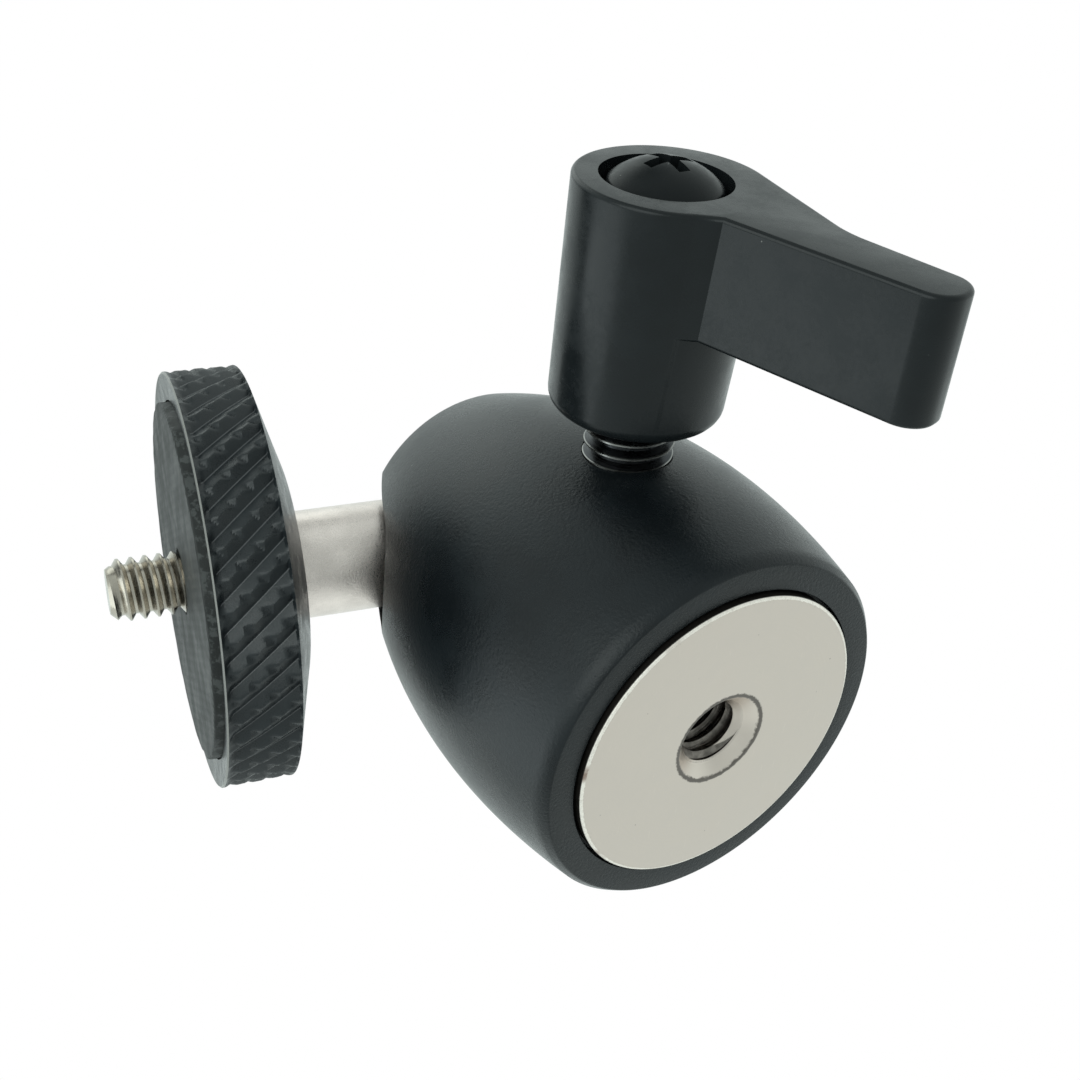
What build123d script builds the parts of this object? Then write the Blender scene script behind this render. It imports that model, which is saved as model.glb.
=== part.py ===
from build123d import *
import os
from math import acos, asin, atan2, cos, degrees, radians, sin, sqrt

# Tripod ball head. Millimetres, +Z up along the housing, origin at the middle of the
# base plate's outer face, where the threaded hole opens. The clamping lever turns about
# a line along X, and the drop notch for the stem faces -Y. The stem lies in the notch.

# ---------------------------------------------------------------- threads and fits
camera_thread = 6.15          # crest diameter of the 1/4"-20 stud
socket_thread = 6.40          # wall diameter of the 1/4"-20 hole in the base plate
clamp_thread = 7.85           # crest diameter of the M8 clamp stud
screw_thread = 4.90           # crest diameter of the M5 lever screw
run_gap = 0.07                # radial clearance of turning and sliding fits
rest_gap = 0.03               # gap between faces that bear on each other across a joint
loose_gap = 0.30              # radial clearance where pieces only pass each other

# ---------------------------------------------------------------- housing
ring_proud = 0.55             # how far the housing's ring face lies behind the plate's face
base_radius = 17.20           # flat ring face, outer edge
edge_radius = 17.47           # top of the small bevel around the ring face
edge_bevel = 0.65             # height of that bevel
belly_radius = 19.03          # widest section
belly_height = 15.60
shoulder_radius = 16.30
shoulder_drop = 10.10         # shoulder's height, below the mouth
rim_radius = 12.05            # outer edge of the mouth, before its rounding
rim_rise = 7.86               # mouth, above the ball's middle
rim_round = 0.90              # rounding of the mouth's outer edge
groove_width = 0.60           # dark groove between the ring face and the base plate
groove_depth = 1.20
notch_width = 12.00           # drop notch for the stem
notch_round = 0.35            # broken edge around the notch

# ---------------------------------------------------------------- base plate
plate_radius = 13.90
plate_thickness = 7.00
plate_bevel = 0.30
countersink_radius = 4.30

# ---------------------------------------------------------------- ball, stem and stud
ball_height = 34.74
ball_radius = 12.00
stem_radius = 5.22
stem_tilt = 78.0              # rest position: angle from the housing's axis
stem_pan = -1.337             # rest position: turn of the tilting plane about Z
shank_radius = 4.00           # stem's shank inside the ball
flat_sink = 0.10              # ball's flat is cut this much deeper than the stem's outline needs
shank_depth = 8.00
stem_end = 24.10              # stem's end face, from the ball's middle
stud_tip = 39.60              # stud's tip, from the ball's middle
stud_depth = 9.00             # length of stud screwed into the stem
undercut_radius = 2.45        # thread undercut of the stud
undercut_width = 0.70
tip_bevel = 0.80
stem_bevel = 0.40

# ---------------------------------------------------------------- lock disc and pad
disc_radius = 19.64
disc_face = 32.10             # front face, from the ball's middle
rim_width = 6.65              # knurled rim
disc_back_radius = 11.50      # small end of the bevelled back
disc_back_depth = 2.50
disc_recess = 1.15            # pocket in the back that takes the stem's end
pad_radius = 16.87
pad_inlay = 0.80              # depth of the pad's seat in the disc
pad_proud = 0.55
pad_hole_gap = 0.45
knurl_count = 42
knurl_depth = 0.85
knurl_angle = 40.0            # main grooves, from the disc's axis
cross_angle = -32.0           # shallower crossing grooves
cross_depth = 0.50
rim_bevel = 0.30              # front edge of the rim
pad_gap = 0.15

# ---------------------------------------------------------------- seat under the ball
liner_thickness = 1.15
seat_floor = 9.00             # underside of the seat
seat_drop = 6.54              # top of the seat's cup, below the ball's middle
liner_drop = 6.04             # liner's rim, below the ball's middle
liner_hole = 3.00             # open middle of the liner
spring_outer = 11.60
spring_inner = 7.60
spring_sheet = 0.60
clamp_pitch = 1.25            # M8 pitch: travel of the clamp for one turn of the lever
clamp_turn = 180.0            # turn of the lever from locked to free

# ---------------------------------------------------------------- clamp stud and pad
clamp_drop = 16.88            # axis of the clamp stud, below the ball's middle
tip_radius = 3.20             # brass pressure pad
tip_nose = 1.00
tip_front = 4.30              # nose of the pad, from the housing's axis
wedge_offset = 0.40           # seat's cone lies this much lower than the pad's
spigot_radius = 2.00
spigot_length = 3.20
stud_inner = 12.60            # inner end of the clamp stud
stud_outer = 26.20            # outer end of the clamp stud, inside the lever
stud_bevel = 0.50

# ---------------------------------------------------------------- lever
hub_bottom = 23.25
hub_top = 43.21               # top face of the hub and arm
hub_bottom_radius = 7.45
hub_top_radius = 8.00
hub_lean = (0.45, 0.30)       # middle of the hub's top outline, towards the arm
hub_round = 1.30
arm_bottom = 32.97
arm_angle = -73.02            # direction of the arm, from +Y towards +Z
arm_near = 3.77               # flat side, from the hub's axis
arm_far_knee = (15.3, 2.00)   # bend of the curved side
arm_far_end = 1.20            # curved side at the tip, from the hub's axis
arm_reach = 26.42
arm_bend = 8.0                # radius of that bend
end_near_round = 2.00         # upright corners of the arm's end
end_far_round = 1.60
arm_round = 0.50              # rounding of the lever's outer edges
recess_radius = 5.37
recess_floor = 31.90
ledge = 1.60                  # thickness of the web under the spring
ledge_gap = 0.35              # play of the screw in the web
tooth_count = 24
tooth_crest = 5.75
tooth_root = 5.20
tooth_size = 1.00             # half the diagonal of the square that each tooth is a corner of
tooth_gap = 0.12
collar_radius = 5.90          # plain collar of the serrated insert
collar_top = 26.40
insert_bottom = 23.90
insert_top = 30.00
tooth_length = 3.40
lift_travel = 3.60
head_radius = 4.70
head_edge = 0.90              # straight side of the screw's head
head_dome = 2.00
head_under = 41.80            # underside of the screw's head
screw_length = 15.50
washer_radius = 4.85
washer_sheet = 0.80
wire = 0.80
coil_turns = 5
coil_radius = 3.90
cross_slot = 4.60
cross_width = 1.15
cross_recess = 1.90
cross_taper = 10.0

# ---------------------------------------------------------------- sizes that follow
rim_height = ball_height + rim_rise
shoulder_height = rim_height - shoulder_drop
seat_rim = ball_height - seat_drop
liner_rim = ball_height - liner_drop
lever_height = ball_height - clamp_drop
socket_radius = ball_radius + run_gap
mouth_angle = degrees(asin((rim_height - ball_height) / socket_radius))
mouth_radius = socket_radius * cos(radians(mouth_angle))
plug_top = plate_thickness
groove_radius = plate_radius + groove_width
disc_back = disc_face - rim_width - disc_back_depth
pad_face = disc_face + pad_proud
flat_height = sqrt(ball_radius**2 - stem_radius**2) - flat_sink
liner_radius = ball_radius + run_gap + liner_thickness
cup_radius = liner_radius + rest_gap
clamp_travel = clamp_pitch * clamp_turn / 360
clamp_radius = clamp_thread / 2
stud_radius = camera_thread / 2

stem_plane = Plane(
    origin=(0, 0, ball_height),
    x_dir=Vector(1, 0, 0).rotate(Axis.Z, stem_pan),
    z_dir=Vector(0, 0, 1).rotate(Axis.X, stem_tilt).rotate(Axis.Z, stem_pan),
)
lever_plane = Plane(
    origin=(0, 0, lever_height),
    x_dir=Vector(0, 1, 0).rotate(Axis.X, arm_angle),
    z_dir=(1, 0, 0),
)


def section(plane):
    """The half plane of a turned piece: across is the radius, up is the piece's own axis."""
    return Plane(origin=plane.origin, x_dir=plane.x_dir, z_dir=-plane.y_dir)


def own_axis(plane):
    return Axis(plane.origin, plane.z_dir)


stem_section = section(stem_plane)
lever_section = section(lever_plane)
stem_axis = own_axis(stem_plane)
lever_axis = own_axis(lever_plane)

# ---------------------------------------------------------------- housing
with BuildPart() as housing:
    with BuildSketch(Plane.XZ) as housing_wall:
        with BuildLine():
            outside = Spline(
                (edge_radius, ring_proud + edge_bevel),
                (belly_radius, belly_height),
                (shoulder_radius, shoulder_height),
                (rim_radius, rim_height),
            )
            Line(outside @ 1, (mouth_radius, rim_height))
            CenterArc((0, ball_height), socket_radius, 0, mouth_angle)
            Polyline(
                (socket_radius, ball_height),
                (socket_radius, plug_top),
                (plate_radius + rest_gap, plug_top),
                (plate_radius + rest_gap, ring_proud + groove_depth),
                (groove_radius, ring_proud + groove_depth),
                (groove_radius, ring_proud),
                (base_radius, ring_proud),
                outside @ 0,
            )
        make_face()
        rim_corner = housing_wall.vertices().sort_by(Axis.Y)[-2:].sort_by(Axis.X)[-1]
        fillet(rim_corner, radius=rim_round)
    revolve(axis=Axis.Z)
    # drop notch: the stem can lie down to a right angle in it
    with BuildSketch(Plane.XZ) as notch:
        with Locations((0, ball_height)):
            Circle(notch_width / 2)
            Rectangle(notch_width, 2 * (rim_height - ball_height), align=(Align.CENTER, Align.MIN))
    extrude(amount=belly_radius, mode=Mode.SUBTRACT)
    # threaded hole for the clamp stud
    with BuildSketch(Plane.YZ.offset(socket_radius / 2)) as clamp_hole:
        with Locations((0, lever_height)):
            Circle(clamp_radius + run_gap)
    extrude(amount=belly_radius, mode=Mode.SUBTRACT)

# ---------------------------------------------------------------- base plate
with BuildPart() as base_plate:
    with BuildSketch(Plane.XZ):
        with BuildLine():
            Polyline(
                (countersink_radius, 0),
                (plate_radius - plate_bevel, 0),
                (plate_radius, plate_bevel),
                (plate_radius, plug_top),
                (socket_thread / 2, plug_top),
                (socket_thread / 2, countersink_radius - socket_thread / 2),
                close=True,
            )
        make_face()
    revolve(axis=Axis.Z)

# ---------------------------------------------------------------- conical spring washer
with BuildPart() as seat_spring:
    with BuildSketch(Plane.XZ):
        with BuildLine():
            Polyline(
                (spring_outer, plug_top),
                (spring_outer, plug_top + spring_sheet),
                (spring_inner, seat_floor - rest_gap),
                (spring_inner, seat_floor - rest_gap - spring_sheet),
                close=True,
            )
        make_face()
    revolve(axis=Axis.Z)

# ---------------------------------------------------------------- seat under the ball
# the cone of its pocket runs parallel to the pressure pad's, bearing on the upper flank
pocket_height = lever_height - wedge_offset
pocket_radius = tip_radius + wedge_offset + clamp_travel + run_gap
flank_gap = rest_gap / cos(radians(45))
flank_end = tip_front + pocket_radius - tip_nose - wedge_offset - flank_gap
pocket_front = tip_front - loose_gap
pocket_nose = tip_nose + wedge_offset + flank_gap - loose_gap
with BuildPart() as lower_seat:
    with BuildSketch(Plane.XZ):
        with Locations((0, seat_floor)):
            Rectangle(socket_radius - run_gap, seat_rim - seat_floor, align=(Align.MIN, Align.MIN))
        with Locations((0, ball_height)):
            Circle(cup_radius, mode=Mode.SUBTRACT)
    revolve(axis=Axis.Z)
    with BuildSketch(Plane.XZ):
        with BuildLine():
            Polyline(
                (pocket_front, pocket_height),
                (pocket_front, pocket_height + pocket_nose),
                (flank_end, pocket_height + pocket_radius),
                (belly_radius, pocket_height + pocket_radius),
                (belly_radius, pocket_height),
                close=True,
            )
        make_face()
    revolve(axis=Axis((0, 0, pocket_height), (1, 0, 0)), mode=Mode.SUBTRACT)

# ---------------------------------------------------------------- nylon liner of the seat
with BuildPart() as seat_liner:
    with BuildSketch(Plane.XZ):
        with Locations((0, ball_height)):
            Circle(liner_radius)
            Circle(socket_radius, mode=Mode.SUBTRACT)
        with Locations((liner_hole, liner_rim)):
            Rectangle(ball_radius, ball_radius, align=(Align.MIN, Align.MAX), mode=Mode.INTERSECT)
    revolve(axis=Axis.Z)

# ---------------------------------------------------------------- brass pressure pad
with BuildPart() as pressure_pad:
    with BuildSketch(lever_section):
        with BuildLine():
            Polyline(
                (0, tip_front),
                (tip_nose, tip_front),
                (tip_radius, tip_front + tip_radius - tip_nose),
                (tip_radius, stud_inner - rest_gap),
                (spigot_radius, stud_inner - rest_gap),
                (spigot_radius, stud_inner + spigot_length),
                (0, stud_inner + spigot_length),
                close=True,
            )
        make_face()
    revolve(axis=lever_axis)

# ---------------------------------------------------------------- clamp stud
with BuildPart() as clamp_stud:
    with Locations(lever_plane.offset(stud_inner)):
        Cylinder(clamp_radius, stud_outer - stud_inner, align=(Align.CENTER, Align.CENTER, Align.MIN))
    chamfer(clamp_stud.edges().filter_by(GeomType.CIRCLE), length=stud_bevel)
    with Locations(lever_plane.offset(stud_inner)):
        Cylinder(
            spigot_radius + run_gap,
            spigot_length + loose_gap,
            align=(Align.CENTER, Align.CENTER, Align.MIN),
            mode=Mode.SUBTRACT,
        )

# ---------------------------------------------------------------- serrated insert on the stud
with BuildPart() as lever_insert:
    with Locations(lever_plane.offset(insert_bottom)):
        Cylinder(tooth_root, insert_top - insert_bottom, align=(Align.CENTER, Align.CENTER, Align.MIN))
        Cylinder(collar_radius, collar_top - insert_bottom, align=(Align.CENTER, Align.CENTER, Align.MIN))
    with BuildSketch(lever_plane.offset(insert_top)):
        with PolarLocations(tooth_crest - tooth_size, tooth_count):
            RegularPolygon(tooth_size, 4)
    extrude(amount=-tooth_length)
    with BuildSketch(lever_plane.offset(insert_bottom)):
        Circle(clamp_radius)
    extrude(amount=stud_outer - insert_bottom, mode=Mode.SUBTRACT)
    with BuildSketch(lever_plane.offset(insert_top)):
        Circle(screw_thread / 2)
    extrude(amount=stud_outer - insert_top, mode=Mode.SUBTRACT)

# ---------------------------------------------------------------- clamping lever
# the curved side leaves the hub along a tangent, at half the arm's height
arm_level = ((arm_bottom + hub_top) / 2 - hub_bottom) / (hub_top - hub_bottom)
hub_side_radius = hub_bottom_radius + (hub_top_radius - hub_bottom_radius) * arm_level
hub_side_middle = Vector(*hub_lean) * arm_level
knee_reach = Vector(*arm_far_knee) - hub_side_middle
hub_tangent = degrees(
    atan2(knee_reach.Y, knee_reach.X) + acos(hub_side_radius / knee_reach.length)
)
arm_side = hub_side_middle + Vector(hub_side_radius, 0).rotate(Axis.Z, hub_tangent)
with BuildPart() as lever_handle:
    with BuildSketch(lever_plane.offset(hub_bottom)):
        Circle(hub_bottom_radius)
    with BuildSketch(lever_plane.offset(hub_top)):
        with Locations(hub_lean):
            Circle(hub_top_radius)
    loft()
    fillet(lever_handle.edges().sort_by(Axis.X)[0], radius=hub_round)
    with BuildSketch(lever_plane.offset(arm_bottom)) as arm:
        with BuildLine():
            Polyline(
                (arm_reach, arm_far_end),
                arm_far_knee,
                (arm_side.X, arm_side.Y),
                (0, 0),
                (0, -arm_near),
                (arm_reach, -arm_near),
                close=True,
            )
        make_face()
        for corner, rounding in (
            ((arm_reach, -arm_near), end_near_round),
            ((arm_reach, arm_far_end), end_far_round),
            (arm_far_knee, arm_bend),
        ):
            fillet(arm.vertices().sort_by_distance(corner)[0], radius=rounding)
    extrude(amount=hub_top - arm_bottom)
    fillet(lever_handle.faces().sort_by(Axis.X)[-1].edges(), radius=arm_round)
    # stepped bore: over the collar, over the serrations, the web, the recess for the screw
    with Locations(lever_plane.offset(hub_bottom)):
        Cylinder(
            collar_radius + run_gap,
            collar_top + rest_gap - hub_bottom,
            align=(Align.CENTER, Align.CENTER, Align.MIN),
            mode=Mode.SUBTRACT,
        )
    with BuildSketch(lever_plane.offset(hub_bottom)):
        Circle(tooth_root + tooth_gap)
        with PolarLocations(tooth_crest - tooth_size, tooth_count):
            RegularPolygon(tooth_size + tooth_gap, 4)
    extrude(amount=recess_floor - ledge - hub_bottom, mode=Mode.SUBTRACT)
    with Locations(lever_plane.offset(hub_bottom)):
        Cylinder(
            screw_thread / 2 + ledge_gap,
            hub_top - hub_bottom,
            align=(Align.CENTER, Align.CENTER, Align.MIN),
            mode=Mode.SUBTRACT,
        )
    with Locations(lever_plane.offset(hub_top)):
        Cylinder(
            recess_radius,
            hub_top - recess_floor,
            align=(Align.CENTER, Align.CENTER, Align.MAX),
            mode=Mode.SUBTRACT,
        )

# ---------------------------------------------------------------- spring that seats the lever
with BuildPart() as lever_spring:
    coil_low = recess_floor + wire / 2 + rest_gap
    coil_high = head_under - washer_sheet - wire / 2 - rest_gap
    with BuildLine() as coil:
        Helix(
            pitch=(coil_high - coil_low) / coil_turns,
            height=coil_high - coil_low,
            radius=coil_radius,
            center=(coil_low, 0, lever_height),
            direction=(1, 0, 0),
        )
    with BuildSketch(Plane(origin=coil.line @ 0, z_dir=coil.line % 0)):
        Circle(wire / 2)
    sweep(is_frenet=True)

# ---------------------------------------------------------------- washer and screw
with BuildPart() as lever_washer:
    with BuildSketch(lever_plane.offset(head_under)):
        Circle(washer_radius)
        Circle(screw_thread / 2 + run_gap, mode=Mode.SUBTRACT)
    extrude(amount=-washer_sheet)

with BuildPart() as lever_screw:
    with BuildSketch(lever_section):
        with BuildLine():
            Polyline(
                (0, head_under - screw_length),
                (screw_thread / 2, head_under - screw_length),
                (screw_thread / 2, head_under),
                (head_radius, head_under),
                (head_radius, head_under + head_edge),
            )
            dome_top = head_under + head_edge + head_dome
            dome_radius = (head_radius**2 + head_dome**2) / (2 * head_dome)
            dome_sweep = degrees(asin(head_radius / dome_radius))
            CenterArc((0, dome_top - dome_radius), dome_radius, 90 - dome_sweep, dome_sweep)
            Line((0, dome_top), (0, head_under - screw_length))
        make_face()
    revolve(axis=lever_axis)
    # cross recess
    with BuildSketch(lever_plane.offset(dome_top)):
        Rectangle(cross_slot, cross_width)
        Rectangle(cross_width, cross_slot)
    extrude(amount=-cross_recess, taper=cross_taper, mode=Mode.SUBTRACT)

# ---------------------------------------------------------------- ball
shank_end = flat_height - shank_depth
with BuildPart() as ball:
    with BuildSketch(stem_section):
        Circle(ball_radius)
        with Locations((0, flat_height)):
            Rectangle(
                ball_radius, flat_height + ball_radius, align=(Align.MIN, Align.MAX), mode=Mode.INTERSECT
            )
        with Locations((0, shank_end - rest_gap)):
            Rectangle(
                shank_radius + run_gap, ball_radius, align=(Align.MIN, Align.MIN), mode=Mode.SUBTRACT
            )
    revolve(axis=stem_axis)

# ---------------------------------------------------------------- stem
with BuildPart() as stem:
    with BuildSketch(stem_section):
        with BuildLine():
            Polyline(
                (0, shank_end),
                (shank_radius, shank_end),
                (shank_radius, flat_height + rest_gap),
                (stem_radius, flat_height + rest_gap),
                (stem_radius, stem_end - stem_bevel),
                (stem_radius - stem_bevel, stem_end),
                (stud_radius, stem_end),
                (stud_radius, stem_end - stud_depth),
                (0, stem_end - stud_depth),
                close=True,
            )
        make_face()
    revolve(axis=stem_axis)

# ---------------------------------------------------------------- camera stud
# its thread ends in an undercut just under the pad's face
with BuildPart() as camera_stud:
    with BuildSketch(stem_section):
        with BuildLine():
            Polyline(
                (0, stem_end - stud_depth),
                (stud_radius, stem_end - stud_depth),
                (stud_radius, pad_face - undercut_width),
                (undercut_radius, pad_face - undercut_width),
                (undercut_radius, pad_face),
                (stud_radius, pad_face),
                (stud_radius, stud_tip - tip_bevel),
                (stud_radius - tip_bevel, stud_tip),
                (0, stud_tip),
                close=True,
            )
        make_face()
    revolve(axis=stem_axis)

# ---------------------------------------------------------------- knurled lock disc
disc_hole = stud_radius + run_gap
with BuildPart() as lock_disc:
    with BuildSketch(stem_section) as disc_wall:
        with BuildLine():
            Polyline(
                (disc_hole, stem_end + rest_gap),
                (stem_radius + loose_gap, stem_end + rest_gap),
                (stem_radius + loose_gap, disc_back),
                (disc_back_radius, disc_back),
                (disc_radius, disc_face - rim_width),
                (disc_radius, disc_face - rim_bevel),
                (disc_radius - rim_bevel, disc_face),
                (pad_radius + pad_gap, disc_face),
                (pad_radius + pad_gap, disc_face - pad_inlay),
                (disc_hole, disc_face - pad_inlay),
                close=True,
            )
        make_face()
    revolve(axis=stem_axis)
    # knurl: two sets of V grooves laid across the rim at opposite angles
    for lean, depth in ((knurl_angle, knurl_depth), (cross_angle, cross_depth)):
        grooves = []
        for turn in range(knurl_count):
            outward = stem_plane.x_dir.rotate(stem_axis, 360 * turn / knurl_count)
            around = stem_plane.z_dir.cross(outward)
            middle = stem_plane.origin + stem_plane.z_dir * (disc_face - rim_width / 2)
            along = stem_plane.z_dir * cos(radians(lean)) + around * sin(radians(lean))
            grooves.append(Plane(middle + outward * disc_radius, x_dir=outward, z_dir=along))
        with BuildSketch(*grooves):
            with Locations((rim_width - depth, 0)):
                RegularPolygon(rim_width, 4)
        extrude(amount=disc_radius / 2, both=True, mode=Mode.SUBTRACT)

# ---------------------------------------------------------------- camera pad
with BuildPart() as face_pad:
    with BuildSketch(stem_plane.offset(disc_face - pad_inlay)):
        Circle(pad_radius)
        Circle(stud_radius + pad_hole_gap, mode=Mode.SUBTRACT)
    extrude(amount=pad_inlay + pad_proud)

# ---------------------------------------------------------------- names and export
pieces = {
    "housing": housing,
    "base_plate": base_plate,
    "seat_spring": seat_spring,
    "lower_seat": lower_seat,
    "seat_liner": seat_liner,
    "pressure_pad": pressure_pad,
    "clamp_stud": clamp_stud,
    "lever_insert": lever_insert,
    "lever_handle": lever_handle,
    "lever_spring": lever_spring,
    "lever_washer": lever_washer,
    "lever_screw": lever_screw,
    "ball": ball,
    "stem": stem,
    "camera_stud": camera_stud,
    "lock_disc": lock_disc,
    "face_pad": face_pad,
}
os.makedirs("parts", exist_ok=True)
for name, piece in pieces.items():
    piece.part.label = name
    export_step(piece.part, f"parts/{name}.step")
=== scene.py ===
"""Tripod ball head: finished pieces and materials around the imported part."""
import math

import bmesh
import bpy
from mathutils import Matrix, Vector, noise


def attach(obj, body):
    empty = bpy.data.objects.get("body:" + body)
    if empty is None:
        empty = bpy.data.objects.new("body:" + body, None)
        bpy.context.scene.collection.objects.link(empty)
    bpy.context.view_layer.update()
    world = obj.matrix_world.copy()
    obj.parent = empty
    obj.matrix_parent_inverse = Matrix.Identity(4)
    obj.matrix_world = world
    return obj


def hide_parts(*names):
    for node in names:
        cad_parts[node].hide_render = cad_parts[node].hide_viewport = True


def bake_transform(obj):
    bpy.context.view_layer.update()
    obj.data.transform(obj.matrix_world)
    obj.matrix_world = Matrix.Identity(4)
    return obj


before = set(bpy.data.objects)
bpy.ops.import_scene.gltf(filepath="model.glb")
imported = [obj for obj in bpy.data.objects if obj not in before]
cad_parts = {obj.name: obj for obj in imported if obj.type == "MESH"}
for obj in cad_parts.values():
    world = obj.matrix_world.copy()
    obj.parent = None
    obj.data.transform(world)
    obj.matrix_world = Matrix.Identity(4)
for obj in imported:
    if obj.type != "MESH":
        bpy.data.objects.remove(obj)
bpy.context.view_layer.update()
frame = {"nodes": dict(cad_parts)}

bl_info = {
    "name": "Tripod ball head",
    "version": (1, 0, 0),
    "blender": (4, 5, 0),
    "location": "View3D > Sidebar > Ball head",
    "description": "Builds the pieces, finishes and stage of a small tripod ball head",
    "category": "Add Mesh",
}

MM = 0.001
FULL = 2 * math.pi
BALL = Vector((0, 0, 34.74))
STEM_PAN = math.radians(-1.337)
STEM_TILT = math.radians(78)
LEVER_HEIGHT = 17.86
ARM_ANGLE = math.radians(-73.02)


# ------------------------------------------------------------------ sizes and colours
class BallHeadSizes(bpy.types.PropertyGroup):
    """Sizes that the pieces are built from."""

    shell_steps: bpy.props.IntProperty(
        name="Steps round", description="Faces round the large turned pieces", default=192, min=48
    )
    notch_width: bpy.props.FloatProperty(
        name="Notch width", description="Width of the drop notch for the stem", default=12.0 * MM,
        unit="LENGTH",
    )
    edge_round: bpy.props.FloatProperty(
        name="Edge rounding", description="Rounding of the lever's top edges", default=0.4 * MM,
        unit="LENGTH",
    )
    camera_pitch: bpy.props.FloatProperty(
        name="Camera thread pitch", description="Pitch of the stud and the base hole",
        default=1.27 * MM, unit="LENGTH",
    )
    clamp_pitch: bpy.props.FloatProperty(
        name="Clamp thread pitch", description="Pitch of the clamp stud", default=1.25 * MM,
        unit="LENGTH",
    )
    knurl_count: bpy.props.IntProperty(
        name="Knurl count", description="Grooves of each set round the lock disc", default=46, min=12
    )
    knurl_depth: bpy.props.FloatProperty(
        name="Knurl depth", description="Depth of the main grooves", default=0.6 * MM, unit="LENGTH"
    )
    cross_depth: bpy.props.FloatProperty(
        name="Cross depth", description="Depth of the crossing grooves", default=0.36 * MM, unit="LENGTH"
    )
    pad_rib: bpy.props.FloatProperty(
        name="Pad rib", description="Distance from rib to rib on the camera pad",
        default=0.5 * MM, unit="LENGTH",
    )
    pad_turn: bpy.props.FloatProperty(
        name="Pad grain", description="Turn of the ribs on the camera pad",
        default=math.radians(125.9), subtype="ANGLE",
    )


class BallHeadColours(bpy.types.PropertyGroup):
    """Colours of the finishes."""

    shell: bpy.props.FloatVectorProperty(
        name="Body", description="Blasted black of the body", default=(0.0085, 0.0115, 0.0135),
        subtype="COLOR", size=3, min=0, max=1,
    )
    lever: bpy.props.FloatVectorProperty(
        name="Lever", description="Smooth black of the lever", default=(0.010, 0.0128, 0.0142),
        subtype="COLOR", size=3, min=0, max=1,
    )
    plate: bpy.props.FloatVectorProperty(
        name="Base plate", description="Bare metal of the base plate", default=(0.615, 0.545, 0.49),
        subtype="COLOR", size=3, min=0, max=1,
    )
    stem: bpy.props.FloatVectorProperty(
        name="Stem", description="Blasted metal of the stem and ball", default=(0.80, 0.715, 0.67),
        subtype="COLOR", size=3, min=0, max=1,
    )
    disc: bpy.props.FloatVectorProperty(
        name="Lock disc", description="Black of the lock disc", default=(0.014, 0.0185, 0.021),
        subtype="COLOR", size=3, min=0, max=1,
    )
    pad: bpy.props.FloatVectorProperty(
        name="Camera pad", description="Rubber of the camera pad", default=(0.04, 0.043, 0.042),
        subtype="COLOR", size=3, min=0, max=1,
    )


# ------------------------------------------------------------------ places
def place(origin, across, up):
    """A matrix in millimetres whose Z is up and whose X is nearest across."""
    z = Vector(up).normalized()
    y = z.cross(Vector(across)).normalized()
    turn = Matrix((y.cross(z), y, z)).transposed().to_4x4()
    return Matrix.Translation(Vector(origin) * MM) @ turn @ Matrix.Scale(MM, 4)


STEM_AXIS = (
    math.sin(STEM_TILT) * math.sin(STEM_PAN),
    -math.sin(STEM_TILT) * math.cos(STEM_PAN),
    math.cos(STEM_TILT),
)
UPRIGHT = Matrix.Scale(MM, 4)
ON_STEM = place(BALL, (math.cos(STEM_PAN), math.sin(STEM_PAN), 0), STEM_AXIS)
ON_LEVER = place((0, 0, LEVER_HEIGHT), (0, math.cos(ARM_ANGLE), math.sin(ARM_ANGLE)), (1, 0, 0))


# ------------------------------------------------------------------ mesh helpers, in millimetres
def close_up(bm):
    """Fills the open ends of a solid and turns its faces outwards."""
    open_edges = [e for e in bm.edges if len(e.link_faces) == 1]
    bmesh.ops.holes_fill(bm, edges=open_edges, sides=0)
    bmesh.ops.recalc_face_normals(bm, faces=bm.faces)


def piece(name, bm, spot, body, replaces=(), smooth=35):
    """Turns a bmesh into a finished object that rides on a body."""
    bmesh.ops.transform(bm, matrix=spot, verts=bm.verts)
    mesh = bpy.data.meshes.new(name)
    bm.to_mesh(mesh)
    bm.free()
    obj = bpy.data.objects.new(name, mesh)
    bpy.context.collection.objects.link(obj)
    mesh.shade_smooth()
    mesh.set_sharp_from_angle(angle=math.radians(smooth))
    if body:
        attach(obj, body)
    if replaces:
        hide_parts(*replaces)
    return obj


def coil(radius, wire, low, high, turns, steps=40, sides=12):
    """A round wire wound as a helix round Z, closed at both ends."""
    bm = bmesh.new()
    start = Matrix.Translation((radius, 0, low)) @ Matrix.Rotation(math.pi / 2, 4, "X")
    bmesh.ops.create_circle(bm, cap_ends=False, segments=sides, radius=wire / 2, matrix=start)
    bmesh.ops.spin(
        bm, geom=bm.verts[:] + bm.edges[:], cent=(0, 0, 0), axis=(0, 0, 1),
        dvec=(0, 0, (high - low) / (turns * steps)), angle=FULL * turns, steps=steps * turns,
        use_merge=False, use_duplicate=False,
    )
    close_up(bm)
    return bm


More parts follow.
